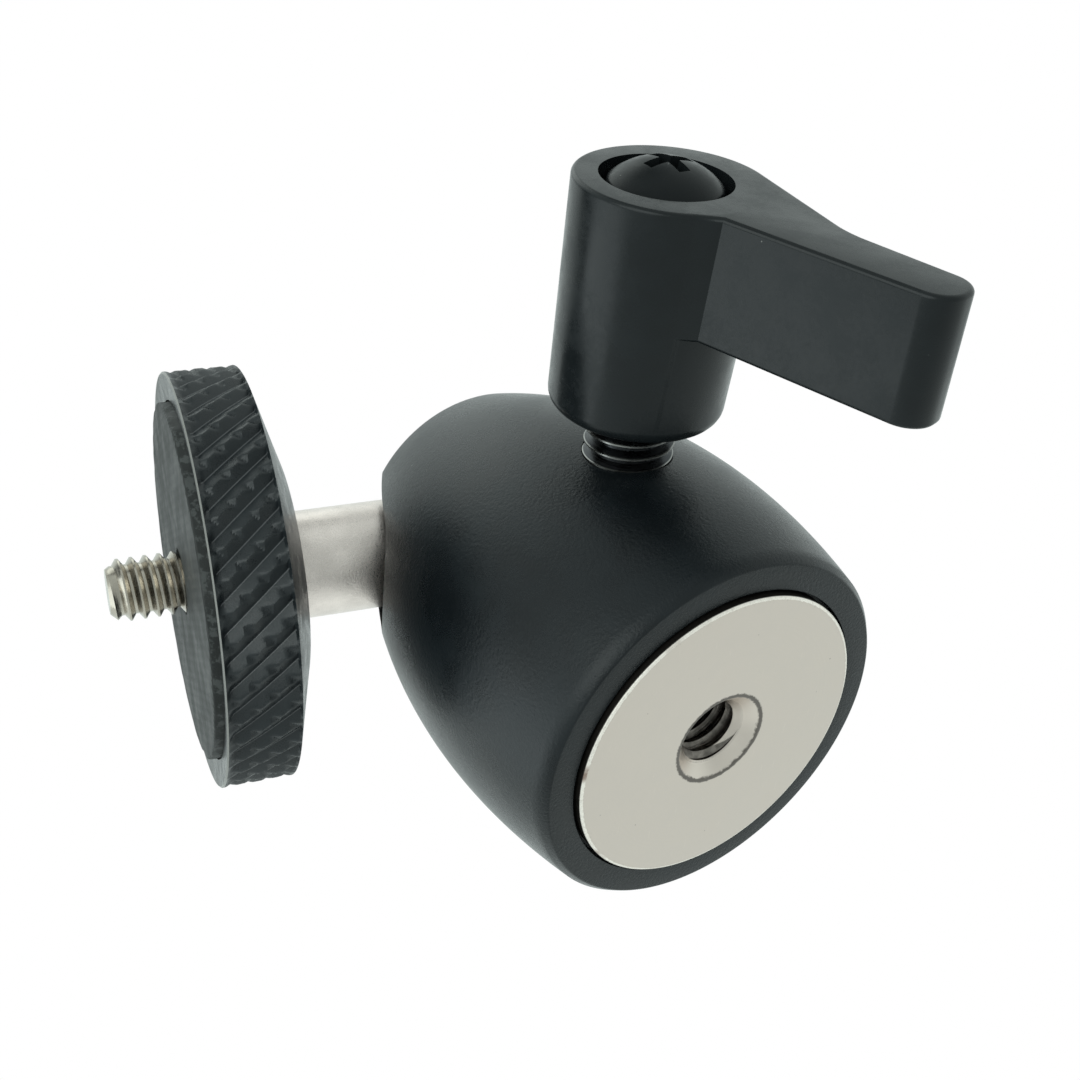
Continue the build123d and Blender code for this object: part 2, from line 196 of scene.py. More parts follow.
def lathe(points, rounds=(), steps=128, closed=True):
    """A profile of (radius, height) points, some corners rounded, spun round Z."""
    bm = bmesh.new()
    verts = [bm.verts.new((r, 0, h)) for r, h in points]
    pairs = list(zip(verts, verts[1:])) + ([(verts[-1], verts[0])] if closed else [])
    for pair in pairs:
        bm.edges.new(pair)
    for index, radius in rounds:
        bmesh.ops.bevel(
            bm, geom=[verts[index]], offset=radius, offset_type="OFFSET", segments=6,
            profile=0.5, affect="VERTICES", material=-1, clamp_overlap=True,
        )
    bmesh.ops.spin(
        bm, geom=bm.verts[:] + bm.edges[:], cent=(0, 0, 0), axis=(0, 0, 1), dvec=(0, 0, 0),
        angle=FULL, steps=steps, use_merge=True, use_duplicate=False,
    )
    bmesh.ops.remove_doubles(bm, verts=bm.verts, dist=1e-4)
    bmesh.ops.recalc_face_normals(bm, faces=bm.faces)
    return bm


def thread(crest, root, pitch, low, high, steps=72, taper_low=0.0, taper_high=0.0, crest_flat=0.16):
    """One screw thread as a closed rod, cut off square and tapered at the ends."""
    turns = math.ceil((high - low) / pitch) + 2
    start = low - pitch * 1.5
    root_flat = 0.2
    flank = (1 - crest_flat - root_flat) / 2 * pitch
    bm = bmesh.new()
    heights = [
        (root, 0), (root, root_flat * pitch), (crest, root_flat * pitch + flank),
        (crest, pitch - flank), (root, pitch),
    ]
    verts = [bm.verts.new((r, 0, start + h)) for r, h in heights]
    for pair in zip(verts, verts[1:]):
        bm.edges.new(pair)
    bmesh.ops.spin(
        bm, geom=bm.verts[:] + bm.edges[:], cent=(0, 0, 0), axis=(0, 0, 1),
        dvec=(0, 0, pitch / steps), angle=FULL * turns, steps=steps * turns,
        use_merge=False, use_duplicate=False,
    )
    bmesh.ops.remove_doubles(bm, verts=bm.verts, dist=1e-4)
    for height, side in ((low, -1), (high, 1)):
        bmesh.ops.bisect_plane(
            bm, geom=bm.verts[:] + bm.edges[:] + bm.faces[:], dist=1e-5, plane_co=(0, 0, height),
            plane_no=(0, 0, side), clear_outer=True, clear_inner=False,
        )
    for vert in bm.verts:
        radius = math.hypot(vert.co.x, vert.co.y)
        limit = crest
        if taper_low:
            limit = min(limit, crest - taper_low + (vert.co.z - low))
        if taper_high:
            limit = min(limit, crest - taper_high + (high - vert.co.z))
        if radius > limit:
            vert.co.x *= limit / radius
            vert.co.y *= limit / radius
    close_up(bm)
    return bm


def cut(obj, cutters, operation="DIFFERENCE"):
    """Cuts (or joins) solid helper meshes into a piece for good."""
    for bm, spot in cutters:
        tool = piece("cutter", bm, spot, None)
        mod = obj.modifiers.new("cut", "BOOLEAN")
        mod.operation, mod.solver, mod.object = operation, "EXACT", tool
        depsgraph = bpy.context.evaluated_depsgraph_get()
        depsgraph.update()
        mesh = bpy.data.meshes.new_from_object(obj.evaluated_get(depsgraph))
        obj.modifiers.clear()
        old, obj.data = obj.data, mesh
        bpy.data.meshes.remove(old)
        bpy.data.meshes.remove(tool.data)
    obj.data.shade_smooth()
    obj.data.set_sharp_from_angle(angle=math.radians(35))


def round_edges(obj, width, angle, segments):
    """Rounds every edge that is sharper than the angle in degrees."""
    mod = obj.modifiers.new("rounding", "BEVEL")
    mod.width, mod.segments, mod.limit_method = width, segments, "ANGLE"
    mod.angle_limit, mod.miter_outer, mod.harden_normals = math.radians(angle), "MITER_ARC", True


def rod(radius, low, high, steps=96):
    """A solid cylinder round Z, to cut with."""
    bm = bmesh.new()
    bmesh.ops.create_cone(
        bm, cap_ends=True, segments=steps, radius1=radius, radius2=radius, depth=high - low,
        matrix=Matrix.Translation((0, 0, (low + high) / 2)),
    )
    return bm


# ------------------------------------------------------------------ material helpers
class Finish:
    """A principled material put together from procedural nodes on Object coordinates."""

    def __init__(self, name, colour, metallic, roughness, specular=0.5):
        self.material = bpy.data.materials.new(name)
        self.material.use_nodes = True
        tree = self.material.node_tree
        self.nodes, self.links = tree.nodes, tree.links
        self.shader = next(n for n in self.nodes if n.type == "BSDF_PRINCIPLED")
        self.shader.inputs["Base Color"].default_value = (*colour, 1)
        self.shader.inputs["Metallic"].default_value = metallic
        self.shader.inputs["Roughness"].default_value = roughness
        self.shader.inputs["Specular IOR Level"].default_value = specular
        self.place = self.nodes.new("ShaderNodeTexCoord").outputs["Object"]
        self.height = None

    def turned_to(self, spot):
        """Coordinates in millimetres along a piece's own axes."""
        node = self.nodes.new("ShaderNodeMapping")
        node.vector_type = "TEXTURE"
        where, turn, _ = spot.decompose()
        node.inputs["Location"].default_value = where
        node.inputs["Rotation"].default_value = turn.to_euler()
        node.inputs["Scale"].default_value = (MM, MM, MM)
        self.links.new(self.place, node.inputs["Vector"])
        self.place = node.outputs["Vector"]
        return self

    def stretched(self, scale):
        """The piece's own coordinates, scaled differently along each axis."""
        node = self.nodes.new("ShaderNodeMapping")
        node.inputs["Scale"].default_value = scale
        self.links.new(self.place, node.inputs["Vector"])
        return node.outputs["Vector"]

    def noise(self, scale, detail=3.0, rough=0.55, where=None):
        """Cloudy noise, from 0 to 1 round a middle of 0.5."""
        node = self.nodes.new("ShaderNodeTexNoise")
        node.inputs["Scale"].default_value = scale
        node.inputs["Detail"].default_value = detail
        node.inputs["Roughness"].default_value = rough
        self.links.new(where or self.place, node.inputs["Vector"])
        return node.outputs["Fac"]

    def cells(self, scale):
        """Distance to the nearest of many scattered points."""
        node = self.nodes.new("ShaderNodeTexVoronoi")
        node.inputs["Scale"].default_value = scale
        self.links.new(self.place, node.inputs["Vector"])
        return node.outputs["Distance"]

    def math(self, operation, *values):
        """One sum, product or other value of one or two inputs."""
        node = self.nodes.new("ShaderNodeMath")
        node.operation = operation
        for socket, value in zip(node.inputs, values):
            if isinstance(value, (int, float)):
                socket.default_value = value
            else:
                self.links.new(value, socket)
        return node.outputs[0]

    def ramp(self, value, low, high, to_low=0.0, to_high=1.0):
        """A smooth step from to_low at low to to_high at high; it falls where low is above high."""
        node = self.nodes.new("ShaderNodeMapRange")
        node.interpolation_type = "SMOOTHSTEP"
        for key, number in (("From Min", low), ("From Max", high), ("To Min", to_low), ("To Max", to_high)):
            node.inputs[key].default_value = number
        self.links.new(value, node.inputs["Value"])
        return node.outputs["Result"]

    def split(self):
        """The piece's own x, y and z in millimetres."""
        node = self.nodes.new("ShaderNodeSeparateXYZ")
        self.links.new(self.place, node.inputs[0])
        return node.outputs

    def radius(self):
        """Distance from the piece's own Z axis."""
        x, y, _ = self.split()
        return self.math("SQRT", self.math("ADD", self.math("MULTIPLY", x, x), self.math("MULTIPLY", y, y)))

    def along(self, r, z=None):
        """Coordinates that change only away from the axis and, with z, along it: turning lines."""
        node = self.nodes.new("ShaderNodeCombineXYZ")
        self.links.new(r, node.inputs[0])
        if z is not None:
            self.links.new(z, node.inputs[2])
        return node.outputs[0]

    def mix(self, amount, one, other):
        """One colour or the other, or a blend of both."""
        node = self.nodes.new("ShaderNodeMix")
        node.data_type = "RGBA"
        for index, value in ((0, amount), (6, one), (7, other)):
            if isinstance(value, (int, float)):
                node.inputs[index].default_value = value
            elif isinstance(value, (tuple, list)):
                node.inputs[index].default_value = (*value, 1)
            else:
                self.links.new(value, node.inputs[index])
        return node.outputs[2]

    def colour(self, socket):
        """Sets the base colour."""
        self.links.new(socket, self.shader.inputs["Base Color"])
        return self

    def roughness(self, socket):
        """Sets the roughness."""
        self.links.new(socket, self.shader.inputs["Roughness"])
        return self

    def bump(self, height, distance):
        """Adds a relief on top of those already there."""
        node = self.nodes.new("ShaderNodeBump")
        node.inputs["Distance"].default_value = distance
        node.inputs["Strength"].default_value = 1.0
        self.links.new(height, node.inputs["Height"])
        if self.height is not None:
            self.links.new(self.height, node.inputs["Normal"])
        self.height = node.outputs["Normal"]
        self.links.new(self.height, self.shader.inputs["Normal"])
        return self

    def on(self, *objects):
        """Gives this finish to pieces."""
        for obj in objects:
            obj.data.materials.clear()
            obj.data.materials.append(self.material)
        return self


def tint(colour, gain):
    """A colour made lighter or darker."""
    return tuple(min(1.0, c * gain) for c in colour)


def blasted_black(name, colour, spot):
    """Black anodised metal with a fine blasted grain and a rare bright chip."""
    f = Finish(name, colour, 0.0, 0.4, 0.26).turned_to(spot)
    grain = f.noise(3.4, 4, 0.62)
    fine = f.noise(10.0, 3, 0.6)
    cloud = f.noise(0.16, 2)
    chips = f.ramp(f.noise(1.3, 2), 0.79, 0.80)
    tone = f.mix(f.ramp(cloud, 0.3, 0.7), tint(colour, 0.8), tint(colour, 1.3))
    f.colour(f.mix(chips, tone, (0.4, 0.4, 0.4)))
    f.roughness(f.ramp(f.math("ADD", cloud, f.math("MULTIPLY", fine, 0.5)), 0.4, 1.1, 0.23, 0.33))
    f.bump(grain, 0.045 * MM).bump(fine, 0.012 * MM)
    return f


def painted_black(name, colour, spot, roughness, specular=0.235):
    """Smooth satin black paint with dust, soft waviness and small chips."""
    f = Finish(name, colour, 0.0, roughness, specular).turned_to(spot)
    wave = f.noise(0.35, 2)
    peel = f.noise(2.6, 3)
    dust = f.ramp(f.cells(0.9), 0.055, 0.04)
    rare = f.ramp(f.noise(0.5, 2), 0.62, 0.65)
    f.colour(f.mix(f.math("MULTIPLY", dust, rare), f.mix(wave, tint(colour, 0.8), tint(colour, 1.3)),
                   (0.2, 0.2, 0.19)))
    f.roughness(f.ramp(f.math("ADD", wave, f.math("MULTIPLY", peel, 0.6)), 0.5, 1.1, roughness - 0.05,
                       roughness + 0.1))
    f.bump(peel, 0.004 * MM).bump(wave, 0.008 * MM)
    return f


def blasted_silver(name, colour, spot):
    """Bead blasted metal: an even sparkling grain with soft clouds."""
    f = Finish(name, colour, 1.0, 0.3).turned_to(spot)
    grain = f.noise(5.5, 3, 0.6)
    fine = f.noise(14, 3, 0.7)
    cloud = f.noise(0.3, 3)
    f.colour(f.mix(f.ramp(cloud, 0.3, 0.75), tint(colour, 0.9), tint(colour, 1.1)))
    f.roughness(f.ramp(fine, 0.3, 0.7, 0.24, 0.38))
    f.bump(grain, 0.03 * MM).bump(fine, 0.014 * MM)
    return f


def bare_plate(name, colour):
    """Bare plate metal: a burr round the hole, a bright worn lip, specks, faint streaks, and painted shade
    on the outer wall down in the body's groove.
    """
    burr_radius, cone_radius, lip_radius, wall_radius = 4.42, 4.34, 14.06, 14.2
    f = Finish(name, colour, 1.0, 0.34).turned_to(UPRIGHT)
    r = f.radius()
    ring = f.noise(5.0, 3, 0.7, where=f.along(r))
    cloud = f.noise(0.22, 4, 0.6)
    worn = f.noise(3.0, 5, 0.75)
    jag = f.noise(2.4, 4, 0.8)
    ragged = f.math("ADD", r, f.math("MULTIPLY", f.math("SUBTRACT", jag, 0.5), 0.55))
    burr = f.ramp(f.math("ABSOLUTE", f.math("SUBTRACT", ragged, burr_radius)), 0.28, 0.12)
    cone = f.ramp(r, cone_radius, cone_radius - 0.1)
    # Mask of the outer wall, which gets the painted shade of the groove.
    wall = f.ramp(r, wall_radius, wall_radius + 0.04)
    lip = f.ramp(f.math("ADD", r, f.math("MULTIPLY", jag, 0.25)), lip_radius, lip_radius + 0.08)
    lip = f.math("MULTIPLY", lip, f.ramp(worn, 0.3, 0.6, 0.35, 1.0))
    edge = f.math("MULTIPLY", f.ramp(r, 13.5, 14.0), f.ramp(worn, 0.54, 0.66))
    specks = f.math("MULTIPLY", f.ramp(f.cells(0.55), 0.05, 0.035), f.ramp(jag, 0.5, 0.55))
    streak = f.ramp(f.noise(1.6, 2, where=f.stretched((0.25, 2.6, 1))), 0.66, 0.72)
    shine = f.mix(f.ramp(f.noise(0.14, 3, 0.6), 0.52, 0.66), (0.98, 0.93, 0.87), (0.34, 0.24, 0.2))
    tone = f.mix(f.ramp(cloud, 0.3, 0.7), tint(colour, 0.97), tint(colour, 1.03))
    tone = f.mix(f.math("MULTIPLY", specks, 0.6), tone, tint(colour, 0.25))
    tone = f.mix(lip, tone, shine)
    for part, amount, gain in ((streak, 0.12, 1.35), (edge, 0.3, 0.5), (cone, 0.6, 1.15), (burr, 0.85, 0.1)):
        tone = f.mix(f.math("MULTIPLY", part, amount), tone, tint(colour, gain))
    # Painted shade: the outer wall, down in the groove of the body, is coloured nearly black.
    f.colour(f.mix(wall, tone, tint(colour, 0.04)))
    blunt = f.ramp(f.math("ADD", cloud, f.math("MULTIPLY", ring, 0.4)), 0.4, 1.0, 0.3, 0.46)
    f.roughness(f.math("ADD", blunt, f.math("MULTIPLY", lip, 0.3)))
    f.bump(ring, 0.006 * MM).bump(worn, 0.004 * MM)
    return f


def turned_metal(name, colour, spot, roughness=0.3, line=9.0, depth=0.01):
    """Bright metal with fine turning lines about its own axis."""
    f = Finish(name, colour, 1.0, roughness).turned_to(spot)
    r = f.radius()
    _, _, z = f.split()
    ring = f.noise(line, 3, 0.7, where=f.along(r, z))
    cloud = f.noise(0.5, 3)
    f.colour(f.mix(f.ramp(cloud, 0.3, 0.7), tint(colour, 0.85), tint(colour, 1.1)))
    f.roughness(f.ramp(f.math("ADD", ring, cloud), 0.7, 1.3, roughness - 0.08, roughness + 0.12))
    f.bump(ring, depth * MM)
    return f


# ------------------------------------------------------------------ body
class BALLHEAD_OT_body(bpy.types.Operator):
    """Barrel-shaped body with its mouth, drop notch, side hole and ring groove"""

    bl_idname = "ballhead.body"
    bl_label = "Body"

    def execute(self, context):
        sizes, colours = context.scene.ballhead_sizes, context.scene.ballhead_colours
        base, belly, shoulder, rim = (17.47, 1.2), (19.03, 15.6), (16.3, 32.5), (12.05, 42.6)

        def outside(height):
            """The smooth side wall: a cubic through its four named sections."""
            knots, total = (base, belly, shoulder, rim), 0.0
            for r, h in knots:
                term = r
                for _, other in knots:
                    if other != h:
                        term *= (height - other) / (h - other)
                total += term
            return total

        rings, socket_steps = 48, 12
        heights = [base[1] + (rim[1] - base[1]) * i / rings for i in range(rings + 1)]
        side = [(outside(height), height) for height in heights]
        socket, mouth_height = 12.07, 7.86
        lift = math.asin(mouth_height / socket)
        lifts = [lift * i / socket_steps for i in range(socket_steps, -1, -1)]
        inner = [(socket * math.cos(a), BALL.z + socket * math.sin(a)) for a in lifts]
        plate_bore, plate_seat = 13.93, 7.0
        groove, groove_floor = 14.5, 1.75
        foot, foot_face = 16.95, 0.55
        profile = side + inner + [
            (socket, plate_seat), (plate_bore, plate_seat), (plate_bore, groove_floor),
            (groove, groove_floor), (groove, foot_face), (foot, foot_face),
        ]
        foot_round, rim_round, mouth_round = 0.12, 0.9, 0.25
        rounds = ((len(profile) - 1, foot_round), (len(profile) - 2, foot_round), (rings, rim_round),
                  (rings + 1, mouth_round))
        shell = piece("body_shell", lathe(profile, rounds, sizes.shell_steps), UPRIGHT, "body",
                      ("housing",))

        half, length, out, opening_height = sizes.notch_width / MM / 2, 24, -14, 16
        slot = bmesh.new()
        bmesh.ops.create_cone(
            slot, cap_ends=True, segments=96, radius1=half, radius2=half, depth=length,
            matrix=Matrix.Translation((0, out, BALL.z)) @ Matrix.Rotation(math.pi / 2, 4, "X"),
        )
        opening = bmesh.new()
        bmesh.ops.create_cube(
            opening, size=1,
            matrix=Matrix.Translation((0, out, BALL.z + opening_height / 2))
            @ Matrix.Diagonal((2 * half, length, opening_height, 1)),
        )
        neck_hole = rod(3.995, 6, 24)
        cut(shell, ((slot, UPRIGHT), (opening, UPRIGHT), (neck_hole, ON_LEVER)))
        blasted_black("blasted_black", tuple(colours.shell), UPRIGHT).on(shell)
        return {"FINISHED"}


# ------------------------------------------------------------------ base plate
class BALLHEAD_OT_base(bpy.types.Operator):
    """Bare plate in the foot of the body, with its countersunk threaded hole"""

    bl_idname = "ballhead.base"
    bl_label = "Base plate"

    def execute(self, context):
        sizes, colours = context.scene.ballhead_sizes, context.scene.ballhead_colours
        colour = tuple(colours.plate)
        mouth, hole, mouth_depth = 4.3, 3.22, 1.08
        lip, lip_height, wall, top = 14.26, 1.5, 13.9, 7.0
        plate = piece(
            "foot_plate",
            lathe([(mouth, 0), (lip, 0), (lip, lip_height), (wall, lip_height), (wall, top), (hole, top),
                   (hole, mouth_depth)], ((1, 0.3), (0, 0.12)), 160),
            UPRIGHT, "body", ("base_plate",),
        )
        bare_plate("bare_plate", colour).on(plate)

        inside, outside, low, high = 2.45, 3.3, 1.0, 6.95
        sleeve = piece("hole_thread", lathe([(inside, low), (outside, low), (outside, high), (inside, high)],
                                            (), 96),
                       UPRIGHT, "body", ())
        tap = thread(3.18, 2.66, sizes.camera_pitch / MM, 0.5, 8.0, crest_flat=0.2)
        countersink = bmesh.new()
        bmesh.ops.create_cone(
            countersink, cap_ends=True, segments=96, radius1=4.7, radius2=0.7, depth=4.0,
            matrix=Matrix.Translation((0, 0, 1.6)),
        )
        cut(sleeve, ((tap, UPRIGHT), (countersink, UPRIGHT)))
        f = turned_metal("threaded_hole", tint(colour, 0.3), UPRIGHT, 0.28, 6.0, 0.03)
        rise = f.math("ADD", f.radius(), f.split()[2])
        rim = f.ramp(f.math("ABSOLUTE", f.math("SUBTRACT", rise, mouth)), 0.06, 0.03)
        # The thread in the hole is coloured dark, between 0.2 and 0.4 of the plate's colour in soft clouds;
        # the countersink keeps nearly the plate's colour.
        dark_clouds = f.mix(f.ramp(f.noise(1.2, 3), 0.35, 0.65), tint(colour, 0.2), tint(colour, 0.4))
        f.colour(f.mix(rim, dark_clouds, tint(colour, 0.95)))
        f.on(sleeve)
        return {"FINISHED"}


# ------------------------------------------------------------------ lever
def lever_arm(high, low, hub_low, radii, lean, edge_round):
    """The flat arm of the lever, its foot drawn in to follow the hub's taper and lean."""
    foot_radius, top_radius = radii
    arm = bmesh.new()
    outline = [(3.6, -3.4), (5.58, -5.66), (8.0, -3.77), (26.6, -3.77), (26.6, 1.2), (15.3, 2.0),
               (3.94, 7.5), (2.2, 7.0)]
    corners = [arm.verts.new((x, y, high)) for x, y in outline]
    arm.faces.new(corners)
    for index, radius, segments in ((3, 2.4, 12), (4, 2.1, 12), (5, 1.38, 8)):
        bmesh.ops.bevel(
            arm, geom=[corners[index]], offset=radius, offset_type="OFFSET", segments=segments,
            profile=0.5, affect="VERTICES", material=-1, clamp_overlap=False,
        )
    down = bmesh.ops.extrude_face_region(arm, geom=arm.faces[:])
    below = [v for v in down["geom"] if isinstance(v, bmesh.types.BMVert)]
    bmesh.ops.translate(arm, verts=below, vec=(0, 0, low - high))
    share = (low - hub_low) / (high - hub_low)
    shrink = (foot_radius + (top_radius - foot_radius) * share) / top_radius
    shift = lean * share - lean * shrink
    hub_side = 9
    bmesh.ops.transform(
        arm, verts=[v for v in below if v.co.x < hub_side],
        matrix=Matrix(((shrink, 0, 0, shift.x), (0, shrink, 0, shift.y), (0, 0, 1, 0), (0, 0, 0, 1))),
    )
    bmesh.ops.recalc_face_normals(arm, faces=arm.faces)
    for level, width in ((high, edge_round), (low, 0.35)):
        rim = [e for e in arm.edges if all(abs(v.co.z - level) < 1e-3 for v in e.verts)]
        bmesh.ops.bevel(
            arm, geom=rim, offset=width, offset_type="OFFSET", segments=5, profile=0.5,
            affect="EDGES", material=-1, clamp_overlap=False,
        )
    bmesh.ops.recalc_face_normals(arm, faces=arm.faces)
    return arm


def lever_handle(sizes, colours):
    """Hub and arm as one piece, bored for the insert, the spring and the screw."""
    low, high, arm_low, lean = 23.25, 43.21, 32.97, Vector((0.45, 0.30))
    foot_radius, top_radius, foot_round = 7.45, 8.0, 1.3
    edge_round = sizes.edge_round / MM
    hub = lathe([(0, low), (foot_radius, low), (top_radius, high), (0, high)],
                ((1, foot_round), (2, edge_round)), 128, closed=False)
    slope = lean / (high - low)
    bmesh.ops.transform(
        hub, verts=hub.verts,
        matrix=Matrix(((1, 0, slope.x, -slope.x * low), (0, 1, slope.y, -slope.y * low),
                       (0, 0, 1, 0), (0, 0, 0, 1))),
    )
    lever = piece("lever_arm", hub, ON_LEVER, "lever", ("lever_handle",))
    arm = lever_arm(high, arm_low, low, (foot_radius, top_radius), lean, edge_round)
    cut(lever, ((arm, ON_LEVER),), "UNION")
    below, above = 22, 45
    insert_bore, insert_end, run_bore = 5.97, 26.43, 5.4
    web_bore, web_low, web_high, recess = 2.8, 30.3, 31.9, 5.37
    bores = lathe(
        [(0, below), (insert_bore, below), (insert_bore, insert_end), (run_bore, insert_end),
         (run_bore, web_low), (web_bore, web_low), (web_bore, web_high), (recess, web_high),
         (recess, above), (0, above)], (), 96, closed=False,
    )
    cut(lever, ((bores, ON_LEVER),))
    painted_black("satin_black_paint", tuple(colours.lever), ON_LEVER, 0.24).on(lever)


def lever_screw():
    """Round-headed screw with a tapering cross recess."""
    head, dome, crown, steps = 4.7, 2.0, 44.7, 12
    tip, shank, head_under = 26.3, 2.45, 41.8
    curve = (head**2 + dome**2) / (2 * dome)
    sweep = math.asin(head / curve)
    turns = [sweep * i / steps for i in range(steps, -1, -1)]
    cap = [(curve * math.sin(a), crown - curve + curve * math.cos(a)) for a in turns]
    screw = piece(
        "cross_head_screw",
        lathe([(0, tip), (shank, tip), (shank, head_under), (head, head_under)] + cap,
              ((3, 0.15), (4, 0.2)), 96, closed=False),
        ON_LEVER, "clamp", ("lever_screw",),
    )
    middle, cross_turn, taper = 44.1, 0.29, 0.62
    bars = []
    for turn in (0, math.pi / 2):
        bar = bmesh.new()
        bmesh.ops.create_cube(
            bar, size=1,
            matrix=Matrix.Rotation(turn - cross_turn, 4, "Z") @ Matrix.Translation((0, 0, middle))
            @ Matrix.Diagonal((4.9, 1.25, 2.6, 1)),
        )
        deep = [v for v in bar.verts if v.co.z < middle]
        bmesh.ops.scale(bar, vec=(taper, taper, 1), verts=deep)
        bars.append((bar, ON_LEVER))
    cut(screw, bars)
    round_edges(screw, 0.1 * MM, 40, 2)
    painted_black("black_oxide", (0.010, 0.012, 0.013), ON_LEVER, 0.28, 0.13).on(screw)


def clamp_neck(sizes):
    """Threaded neck between the body and the lever, its crests painted light grey as a highlight."""
    neck = thread(3.925, 3.2, sizes.clamp_pitch / MM, 12.6, 26.2, 96, 0.5, 0.5, 0.12)
    stud = piece("clamp_thread", neck, ON_LEVER, "clamp", ("clamp_stud",), 30)
    f = turned_metal("dark_steel", (0.05, 0.052, 0.054), ON_LEVER, 0.26, 7.0)
    # Painted highlight: the crests are coloured light grey against the dark roots.
    crest = f.ramp(f.radius(), 3.80, 3.88)
    f.colour(f.mix(crest, (0.045, 0.047, 0.05), (0.27, 0.27, 0.26)))
    f.on(stud)


class BALLHEAD_OT_lever(bpy.types.Operator):
    """Ratchet lever with its screw, and the threaded neck of the clamp stud"""

    bl_idname = "ballhead.lever"
    bl_label = "Clamping lever"

    def execute(self, context):
        sizes, colours = context.scene.ballhead_sizes, context.scene.ballhead_colours
        lever_handle(sizes, colours)
        lever_screw()
        clamp_neck(sizes)
        return {"FINISHED"}


# ------------------------------------------------------------------ ball and stem
class BALLHEAD_OT_stem(bpy.types.Operator):
    """Ball, stem and threaded camera stud"""

    bl_idname = "ballhead.stem"
    bl_label = "Ball and stem"

    def execute(self, context):
        sizes, colours = context.scene.ballhead_sizes, context.scene.ballhead_colours
        radius, flat, bore, bore_floor, steps = 12, 10.705, 4.07, 2.675, 56
        edge = math.acos(flat / radius)
        angles = [edge + (math.pi - edge) * i / steps for i in range(steps + 1)]
        sphere = [(radius * math.sin(a), radius * math.cos(a)) for a in angles]
        ball = piece(
            "clamped_ball",
            lathe([(bore, bore_floor), (bore, flat)] + sphere + [(0, bore_floor)], ((2, 0.08),), 160),
            ON_STEM, "ball", ("ball",),
        )
        stud_hole, hole_floor, post, post_end = 3.075, 15.1, 5.22, 24.1
        shoulder, tenon, tenon_end = 10.735, 4.0, 2.705
        stem = piece(
            "stem_post",
            lathe([(stud_hole, hole_floor), (stud_hole, post_end), (post, post_end), (post, shoulder),
                   (tenon, shoulder), (tenon, tenon_end), (0, tenon_end), (0, hole_floor)],
                  ((2, 0.35), (3, 0.1)), 128),
            ON_STEM, "stem", ("stem",),
        )
        blasted_silver("blasted_silver", tuple(colours.stem), ON_STEM).on(ball, stem)
        screw = thread(2.96, 2.36, sizes.camera_pitch / MM, 15.12, 39.4, 96, 0.0, 0.85, 0.14)
        stud = piece("camera_thread", screw, ON_STEM, "stem", ("camera_stud",), 30)
        turned_metal("stainless_steel", (0.46, 0.42, 0.36), ON_STEM, 0.2, 7.0).on(stud)
        return {"FINISHED"}


# ------------------------------------------------------------------ lock disc and pad
DISC_LOW, DISC_HIGH, DISC_RADIUS = 25.45, 31.86, 19.64
DISC_MIDDLE = (DISC_LOW + DISC_HIGH) / 2
MAIN_LEAN, CROSS_LEAN = math.radians(-40), math.radians(38)
INLAY_FLOOR, PAD_FACE = 31.3, 32.65


def knurl(bm, sizes):
    """Presses two crossed sets of V grooves into the rim, its columns turned along the main ones."""
    pitch = FULL * DISC_RADIUS / sizes.knurl_count
    sets = ((MAIN_LEAN, sizes.knurl_depth / MM, 1.0), (CROSS_LEAN, sizes.cross_depth / MM, 0.56))
    for vert in bm.verts:
        r, angle = math.hypot(vert.co.x, vert.co.y), math.atan2(vert.co.y, vert.co.x)
        height = min(max(vert.co.z, DISC_LOW), DISC_HIGH) - DISC_MIDDLE
        if r > 18:
            angle += height * math.tan(MAIN_LEAN) / DISC_RADIUS
        if r > 19.6:
            sink = 0.05 * abs(noise.noise(vert.co * 2.3))
            for lean, deep, half in sets:
                off = (angle * DISC_RADIUS - height * math.tan(lean)) % pitch
                off = min(off, pitch - off) * math.cos(lean)
                sink = max(sink, deep * (1 - off / half))
            r -= sink * min(1, (vert.co.z - DISC_LOW) / 0.15, (DISC_HIGH - vert.co.z) / 0.5)
        vert.co.x, vert.co.y = r * math.cos(angle), r * math.sin(angle)


